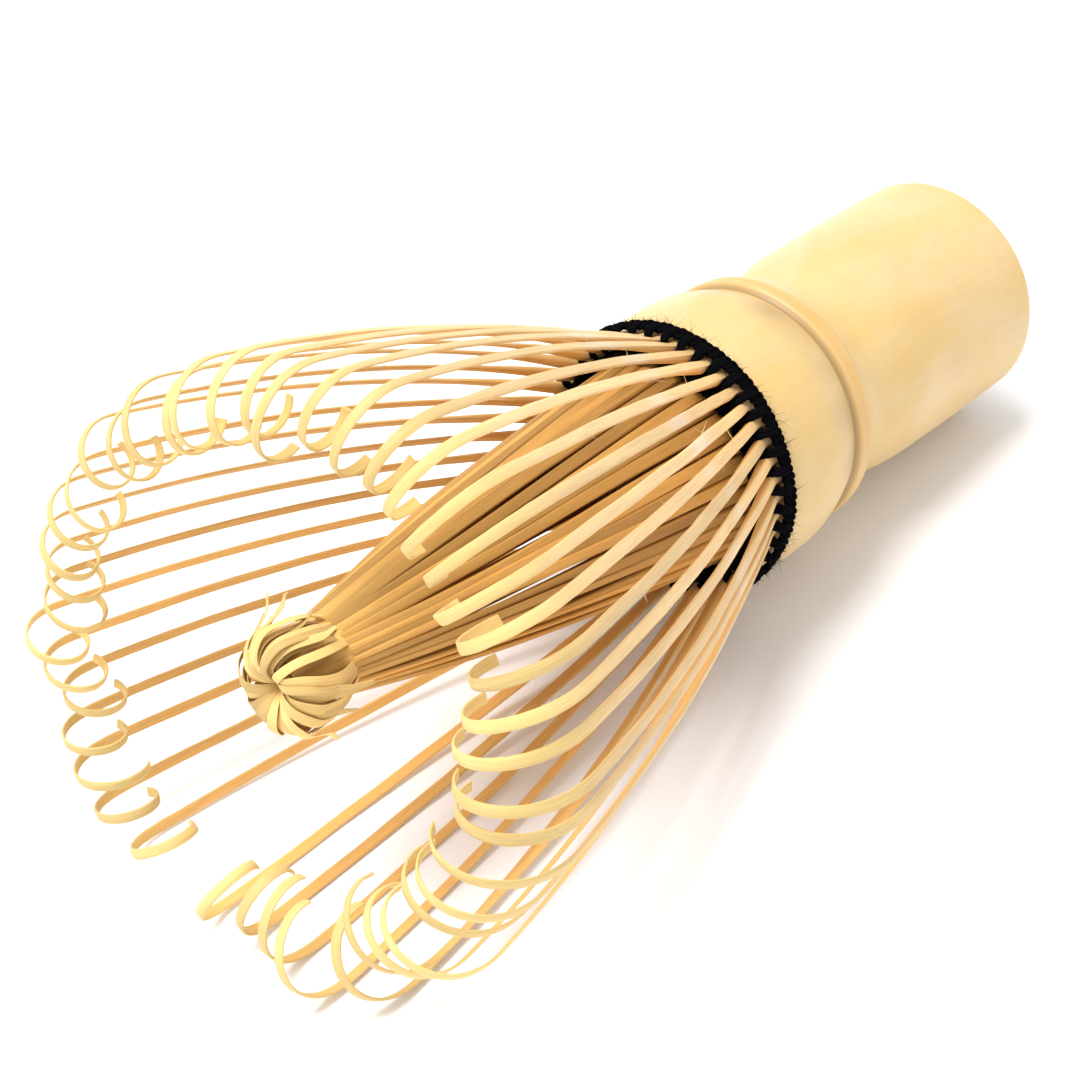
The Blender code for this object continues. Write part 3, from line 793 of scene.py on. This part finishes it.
class TineShape:
    """What sets one outer tine apart from its neighbours, as in the CAD source."""

    def __init__(self, index, variation):
        pitch = 2 * math.pi / OUTER_COUNT
        self.angle = GAP_ANGLE + pitch * (index + 0.5)
        places_from_last = OUTER_COUNT - 1 - index
        outward_drift = MOUTH_DRIFT * math.cos(self.angle - MOUTH_DRIFT_ANGLE)
        side_drift = ROUND_DRIFT - MOUTH_DRIFT * math.sin(self.angle - MOUTH_DRIFT_ANGLE)
        side_drift += FIRST_TINE_DRIFT * math.exp(-(index / FIRST_TINE_REACH) ** 2)
        side_drift += LAST_TINE_DRIFT * math.exp(-(places_from_last / LAST_TINE_REACH) ** 2)
        extra = FAR_SIDE_EXTRA * math.cos(self.angle - FAR_SIDE_ANGLE)
        tightness = (1.0 + math.cos(self.angle - TIGHT_CURL_ANGLE)) / 2
        self.curl_length = blend(LOOSE_CURL_LENGTH, TIGHT_CURL_LENGTH, tightness)
        self.turn = blend(LOOSE_CURL_TURN, TIGHT_CURL_TURN, tightness)
        self.turn += variation.uniform(-TURN_VARIATION, TURN_VARIATION)
        self.curl_start = CURL_START + extra + variation.uniform(-LENGTH_VARIATION, LENGTH_VARIATION)
        flare = MEAN_FLARE + outward_drift / DRIFT_LENGTH
        flare += variation.uniform(-FLARE_VARIATION, FLARE_VARIATION)
        side_drift += variation.uniform(-SIDE_VARIATION, SIDE_VARIATION)
        self.outward_slope = math.sin(flare - BODY_BOW / 2)
        self.side_slope = side_drift / DRIFT_LENGTH
        self.twist = variation.uniform(-TWIST_VARIATION, TWIST_VARIATION)
        self.broadness = 1.0 + WIDTH_SWING * math.cos(self.angle - WIDEST_ANGLE)
        self.length = self.curl_start + self.curl_length
        self.bend()
        if math.cos(self.angle) < -0.5:
            for _ in range(PRESSING_ROUNDS):
                self.settle()

    def bend(self):
        """Set the plane that the tine bends in, and its flare there, from its two slopes."""
        self.flare = math.asin(math.hypot(self.outward_slope, self.side_slope)) + BODY_BOW / 2
        self.plane = math.atan2(self.side_slope, self.outward_slope)

    def settle(self):
        """Press up a tine that would reach below the surface that the whisk lies on, and bring one
        that lies a little above the surface down to it."""
        depths = []
        for step, (outward, axial) in enumerate(self.path()):
            length = step * PATH_STEP
            turned = self.angle + self.plane + self.section_turn(length)
            corner = abs(math.sin(turned)) * self.width(length) / 2 + self.thickness(length) / 2
            height = ROOT_RADIUS * math.cos(self.angle) - corner
            height += outward * math.cos(self.angle + self.plane)
            station = ROOT_STATION + HINGE_LENGTH + axial
            surface = -BUTT_RADIUS - math.tan(REST_TILT) * station
            depths.append(surface - height)
        depth = max(depths)
        if depth < -RESTING_REACH:
            depth = 0.0
        self.outward_slope += depth / (DRIFT_LENGTH * math.cos(self.angle))
        self.bend()

    def section_turn(self, length):
        """How far the section is turned about the strip: straight outwards at the root, into the
        bending plane beyond it, then twisted a little more towards the tip."""
        rooted = -self.plane * (1.0 - smooth_step(length / TURN_LENGTH))
        return rooted - self.twist * length / self.length

    def heading(self, length):
        """Angle of the strip away from the whisk's axis: outwards is positive."""
        outwards = self.flare * smooth_step((length - STRAIGHT_ROOT) / FLARE_LENGTH)
        bow = BODY_BOW * max(length - STRAIGHT_ROOT, 0.0) / (self.curl_start - STRAIGHT_ROOT)
        curled = max(length - self.curl_start, 0.0) / self.curl_length
        return outwards - min(bow, BODY_BOW) - self.turn * curled ** CURL_GROWTH

    def path(self):
        """(outward, axial) points every PATH_STEP, measured from the hinge in the bending plane."""
        outward = 0.0
        axial = -HINGE_LENGTH
        points = [(outward, axial)]
        steps = round(self.length / PATH_STEP)
        for step in range(steps):
            heading = self.heading((step + 0.5) * PATH_STEP)
            outward += math.sin(heading) * PATH_STEP
            axial += math.cos(heading) * PATH_STEP
            points.append((outward, axial))
        return points

    def width(self, length):
        body = BODY_WIDTH * self.broadness
        if length < self.curl_start:
            return blend(ROOT_WIDTH, body, smooth_step(length / SHAVED_LENGTH))
        return blend(body, TIP_WIDTH * self.broadness, (length - self.curl_start) / self.curl_length)

    def thickness(self, length):
        if length < SHAVED_LENGTH:
            share = smooth_step((length - STRAIGHT_ROOT) / (SHAVED_LENGTH - STRAIGHT_ROOT))
            return blend(ROOT_THICKNESS, SHAVED_THICKNESS, share)
        share = (length - SHAVED_LENGTH) / (self.curl_start - SHAVED_LENGTH)
        return blend(SHAVED_THICKNESS, TIP_THICKNESS, min(share, 1.0))

    def place(self):
        """The tine's own frame in the world: its origin is on the hinge and Y is the hinge's axis."""
        hinge = around(self.angle) * ROOT_RADIUS
        hinge.z = ROOT_STATION + HINGE_LENGTH
        return WHISK @ Matrix.Translation(hinge * MM) @ Matrix.Rotation(self.angle, 4, "Z")


def tine_lengths(shape):
    """Stations along a tine: wider apart on the body than in the curl."""
    body = round(shape.curl_start / BODY_STEP)
    curl = round(shape.curl_length / CURL_STEP)
    lengths = [shape.curl_start * step / body for step in range(body)]
    return lengths + [shape.curl_start + shape.curl_length * step / curl for step in range(curl + 1)]


def tine_sections(shape, index, chance):
    """The strip's sections in the tine's own frame, as add_strip takes them."""
    path = shape.path()
    bending = around(shape.plane)
    across = Vector((-bending.y, bending.x, 0.0))
    tone = chance.random()
    patch_at = SHAVED_LENGTH + chance.uniform(*PATCH_SHIFTS)
    patch_half = chance.uniform(*PATCH_HALF_LENGTHS)
    patch_depth = chance.uniform(*PATCH_DEPTHS)
    sections = []
    for length in tine_lengths(shape):
        step = min(length / PATH_STEP, len(path) - 1.001)
        low = int(step)
        outward = blend(path[low][0], path[low + 1][0], step - low)
        axial = blend(path[low][1], path[low + 1][1], step - low)
        heading = shape.heading(length)
        turn = shape.section_turn(length)
        normal = bending * math.cos(heading) - Vector((0.0, 0.0, math.sin(heading)))
        side = across * math.cos(turn) - normal * math.sin(turn)
        face = normal * math.cos(turn) + across * math.sin(turn)
        wander = noise.noise(Vector((length * 0.11, index * 3.7, 1.0)))
        ragged = noise.noise(Vector((length * 0.7, index * 5.3, 2.0)))
        straying = SIDE_STRAYING * wander * min(length / STRAYING_LENGTH, 1.0)
        centre = bending * outward + across * straying
        centre.z = axial
        width = shape.width(length) * (WORN_WIDTH + WIDTH_RAGGEDNESS * ragged + WIDTH_WANDER * wander)
        thickness = shape.thickness(length) * (1.0 + THICKNESS_WANDER * wander)
        # Painted light shining through the thin curl, rising from a little before the curl begins.
        curl = smooth_step((length - shape.curl_start + CURL_GLOW_LEAD) / CURL_GLOW_LENGTH)
        patch = bump(length, patch_at, patch_half) * patch_depth
        skin = blend(ROOT_SKIN, 1.0, smooth_step(length / FULL_SKIN_LENGTH))
        paint = (skin, tone, patch, curl * CURL_GLOW_SHARE)
        sections.append((centre, side, face, width, thickness, length, paint))
    return sections


def add_splinters(surface, sections, chance):
    """Fine splinters lifted off the edges, most of them where the shaving began."""
    for _ in range(chance.choice(SPLINTER_COUNTS)):
        near_shaving = chance.random() < 0.65
        length = chance.gauss(SHAVED_LENGTH, SPLINTER_SPREAD) if near_shaving else chance.uniform(5, 50)
        nearest = min(range(len(sections) - 1), key=lambda place: abs(sections[place][5] - length))
        centre, side, face, width, thickness, _, _ = sections[nearest]
        along = (sections[nearest + 1][0] - centre).normalized()
        edge = chance.choice((-1, 1))
        start = centre + side * (edge * width * 0.46) + face * (thickness * chance.uniform(-0.2, 0.5))
        lift = math.radians(chance.uniform(*SPLINTER_LIFTS))
        away = (side * edge + face * chance.uniform(-0.2, 0.9)).normalized()
        direction = along * math.cos(lift) * chance.choice((1, 1, -1)) + away * math.sin(lift)
        bend = away * chance.uniform(-0.2, 0.5)
        size = chance.uniform(*SPLINTER_LENGTHS)
        add_hair(surface, start, direction, bend, size, SPLINTER_RADIUS, SPLINTER_PAINT)


def make_outer_tines(material):
    """Each tine on its own body. The shapes draw from the CAD source's seed, in its order."""
    variation = random.Random(VARIATION_SEED)
    chance = random.Random(OUTER_GRAIN_SEED)
    for index in range(OUTER_COUNT):
        shape = TineShape(index, variation)
        surface = Surface()
        sections = tine_sections(shape, index, chance)
        add_strip(surface, sections, index)
        add_splinters(surface, sections, chance)
        name = "tine_%02d" % (index + 1)
        body = "outer_" + name
        surface.make(name, material, shape.place(), body, [body])


# ---------------------------------------------------------------- inner tines

def inner_strip_sections(angle, tine, chance):
    """One inner tine from its root to the neck, where it lies over its neighbour like a shingle."""
    tone = chance.random()
    lift = chance.uniform(-INNER_LIFT, INNER_LIFT)
    stray = chance.gauss(0, INNER_STRAYING)
    sections = []
    for step in range(INNER_STRIP_STEPS + 1):
        share = step / INNER_STRIP_STEPS
        wave = noise.noise(Vector((share * 2.5, tine * 4.1, 3.0)))
        closing = math.sin(math.pi * share)
        radius = blend(INNER_ROOT_RADIUS, NECK_RADIUS, share) + CONE_BELLY * closing
        radius += lift * closing + INNER_WAVE * wave
        here = angle + (stray * closing + INNER_WAVE * wave) * 4.0 / radius * share
        out = around(here)
        centre = out * radius
        centre.x += CONE_RISE * share
        centre.z = blend(INNER_ROOT_STATION, NECK_STATION, share)
        across = Vector((-out.y, out.x, 0.0))
        shingle = SHINGLE_ANGLE * smooth_step(share * 1.3)
        side = across * math.cos(shingle) + out * math.sin(shingle)
        face = out * math.cos(shingle) - across * math.sin(shingle)
        width = blend(INNER_ROOT_WIDTH, INNER_NECK_WIDTH, share) * (1.0 + 0.08 * wave)
        thickness = blend(INNER_ROOT_THICKNESS, INNER_NECK_THICKNESS * 0.6, smooth_step(share * 2))
        length = share * (NECK_STATION - INNER_ROOT_STATION)
        skin = 0.55 + 0.45 * smooth_step((share - 0.75) * 4)
        sections.append((centre, side, face, width, thickness, length, (skin, tone, 0.0, 0.0)))
    return sections


def make_inner_tines(material):
    """One piece for each of the CAD's groups, with every strip in it."""
    chance = random.Random(INNER_GRAIN_SEED)
    count = GROUP_COUNT * TINES_PER_GROUP
    pitch = 2 * math.pi / count
    for group in range(GROUP_COUNT):
        surface = Surface()
        for place in range(TINES_PER_GROUP):
            tine = group * TINES_PER_GROUP + place
            angle = 2 * math.pi * group / GROUP_COUNT + (place - (TINES_PER_GROUP - 1) / 2) * pitch
            add_strip(surface, inner_strip_sections(angle, tine, chance), tine)
        name = "inner_strips_%02d" % (group + 1)
        node = "inner_tine_group_%02d" % (group + 1)
        surface.make(name, material, WHISK, "inner_bundle", [node])


# ---------------------------------------------------------------- rosette of folded ends

def ribbon_knots(chance, layer, stand_off):
    """(radius, station) of one folded end: out of the pinch, over the fold, and back to the neck,
    or away from it by stand_off."""
    size = KNOT_RADIUS - 0.3 * layer + chance.uniform(-0.35, 0.3)
    front = KNOT_BACK + KNOT_LENGTH - 0.3 * layer + chance.uniform(-0.4, 0.2)
    knots = [
        (0.12, front - 3.4),
        (0.35, front - 2.2),
        (1.10, front - 0.7),
        (size * 0.58, front),
        (size * 0.93, front - 1.2),
        (size + stand_off * 0.15, front - 3.0),
    ]
    if stand_off:
        knots.append((size + stand_off * 0.5, front - 4.4))
        knots.append((size + stand_off, front - chance.uniform(4.6, 6.4)))
    else:
        knots.append((size * 0.95, front - 5.0))
        knots.append((size * 0.78, KNOT_BACK - 0.5))
    return [Vector(knot) for knot in knots]


def ribbon_sections(chance, angle, layer, stand_off):
    """One folded end's sections. Its face follows the strip without twisting, and on the fold it is
    drawn round to look away from the knot's middle."""
    tone = chance.random()
    knots = ribbon_knots(chance, layer, stand_off)
    wide = chance.uniform(*RIBBON_WIDTHS)
    swirl = KNOT_SWIRL * chance.uniform(0.3, 1.3)
    rise = Vector((CONE_RISE, 0.0, 0.0))
    middle = rise + Vector((0.0, 0.0, KNOT_BACK + KNOT_LENGTH / 2))
    centres = []
    for step in range(KNOT_STEPS + 1):
        share = step / KNOT_STEPS
        radius, station = smooth_curve(knots, share)
        out = around(angle + swirl * (1.0 - smooth_step(share * 1.1)))
        centres.append(out * radius + rise + Vector((0, 0, station)))
    face = -around(angle + swirl)
    sections = []
    for step, centre in enumerate(centres):
        share = step / KNOT_STEPS
        before = centres[max(step - 1, 0)]
        after = centres[min(step + 1, KNOT_STEPS)]
        tangent = (after - before).normalized()
        if 0.2 < share < 0.8:
            face = face + (centre - middle).normalized() * 0.5
        face = (face - tangent * face.dot(tangent)).normalized()
        side = tangent.cross(face)
        width = blend(PINCH_WIDTH, wide, smooth_step(share * 2.4))
        if stand_off:
            width *= 1.0 - 0.65 * smooth_step((share - 0.75) * 4.0)
        paint = (1.6, tone, 0.0, 0.55)
        sections.append((centre, side, face, width, RIBBON_THICKNESS, share * RIBBON_LENGTH, paint))
    return sections


def core_sections(chance, angle):
    """One inner strip's last stretch, from the neck into the pinch."""
    tone = chance.random()
    out = around(angle)
    across = Vector((-out.y, out.x, 0.0))
    sections = []
    for step in range(CORE_STEPS + 1):
        share = step / CORE_STEPS
        radius = blend(NECK_RADIUS, CORE_PINCH_RADIUS, smooth_step(share))
        radius += CORE_BULGE * math.sin(math.pi * share)
        centre = out * radius + Vector((CONE_RISE, 0.0, 0.0))
        centre.z = blend(NECK_STATION - 0.6, KNOT_BACK + KNOT_LENGTH - 2.6, share)
        width = blend(INNER_NECK_WIDTH, CORE_PINCH_WIDTH, share)
        paint = (1.0, 0.2 + tone * 0.8, 0.0, 0.0)
        sections.append((centre, across, out, width, CORE_THICKNESS, share * CORE_LENGTH, paint))
    return sections


def make_rosette(material):
    """The inner tines' ends, folded over and pinched into the middle of the knot's front."""
    surface = Surface()
    chance = random.Random(KNOT_SEED)
    for ribbon in range(KNOT_RIBBONS):
        angle = KNOT_OPENING + (2 * math.pi - KNOT_GAP) * ribbon / KNOT_RIBBONS
        angle += chance.uniform(-0.08, 0.08)
        stand_off = chance.uniform(*LOOSE_STAND_OFF) if ribbon % LOOSE_EVERY == 1 else 0.0
        if ribbon in STRAY_RIBBONS:
            stand_off = STRAY_RIBBONS[ribbon]
        add_strip(surface, ribbon_sections(chance, angle, ribbon % 3, stand_off), ribbon)
    for strip in range(CORE_STRIPS):
        add_strip(surface, core_sections(chance, 2 * math.pi * strip / CORE_STRIPS), strip)
    nodes = ["inner_tip_knot"]
    surface.make("tip_rosette", material, WHISK, "inner_bundle", nodes)


# ---------------------------------------------------------------- stage, light and camera

CAMERA_PLACE = Vector((-0.1739, -0.1327, 0.1969))
CAMERA_AIM = Vector((0.5924, 0.4841, -0.6440))
CAMERA_LENS = 100.0
SENSOR_WIDTH = 36.0
FLOOR_HALF_WIDTH = 1.5
SKY_STRENGTH = 0.81
LAMP_STRENGTH = 3.55
LAMP_ANGLE = math.radians(34)
TOWARDS_LAMP = Vector((-0.22, 0.27, 1.0))


def make_floor():
    mesh = bpy.data.meshes.new("floor")
    half = FLOOR_HALF_WIDTH
    corners = [(-half, -half, 0.0), (half, -half, 0.0), (half, half, 0.0), (-half, half, 0.0)]
    mesh.from_pydata(corners, [], [(0, 1, 2, 3)])
    material = bpy.data.materials.new("pale_floor")
    material.use_nodes = True
    shader = material.node_tree.nodes["Principled BSDF"]
    shader.inputs["Base Color"].default_value = FLOOR_WHITE + (1.0,)
    shader.inputs["Roughness"].default_value = 0.85
    shader.inputs["Specular IOR Level"].default_value = 0.1
    mesh.materials.append(material)
    floor = bpy.data.objects.new("floor", mesh)
    bpy.context.scene.collection.objects.link(floor)


def make_light():
    world = bpy.data.worlds.new("studio")
    world.use_nodes = True
    background = world.node_tree.nodes["Background"]
    background.inputs["Color"].default_value = (1.0, 1.0, 1.0, 1.0)
    background.inputs["Strength"].default_value = SKY_STRENGTH
    bpy.context.scene.world = world
    key = bpy.data.lights.new("key", "SUN")
    key.energy = LAMP_STRENGTH
    key.angle = LAMP_ANGLE
    lamp = bpy.data.objects.new("key", key)
    bpy.context.scene.collection.objects.link(lamp)
    lamp.rotation_euler = TOWARDS_LAMP.to_track_quat("Z", "Y").to_euler()
    bpy.context.scene.view_settings.view_transform = "Standard"


def make_camera():
    lens = bpy.data.cameras.new("camera")
    lens.lens = CAMERA_LENS
    lens.sensor_width = SENSOR_WIDTH
    lens.sensor_fit = "HORIZONTAL"
    lens.clip_start = 0.01
    camera = bpy.data.objects.new("camera", lens)
    bpy.context.scene.collection.objects.link(camera)
    camera.location = CAMERA_PLACE
    camera.rotation_euler = CAMERA_AIM.to_track_quat("-Z", "Y").to_euler()
    bpy.context.scene.camera = camera


def main():
    make_camera()
    make_floor()
    make_light()
    culm = culm_material()
    cord = cord_material()
    outer = strip_material("split_bamboo", TINE_SKIN, TINE_FLESH, TINE_PATCH, TINE_CURL_GLOW, OUTER_CONTRAST)
    inner = strip_material("inner_bamboo", INNER_SKIN, INNER_FLESH, TINE_PATCH, KNOT_PALE, INNER_CONTRAST)
    make_handle(culm)
    make_outer_cord(cord)
    make_inner_cord(cord)
    make_fuzz(cord)
    make_outer_tines(outer)
    make_inner_tines(inner)
    make_rosette(inner)


main()
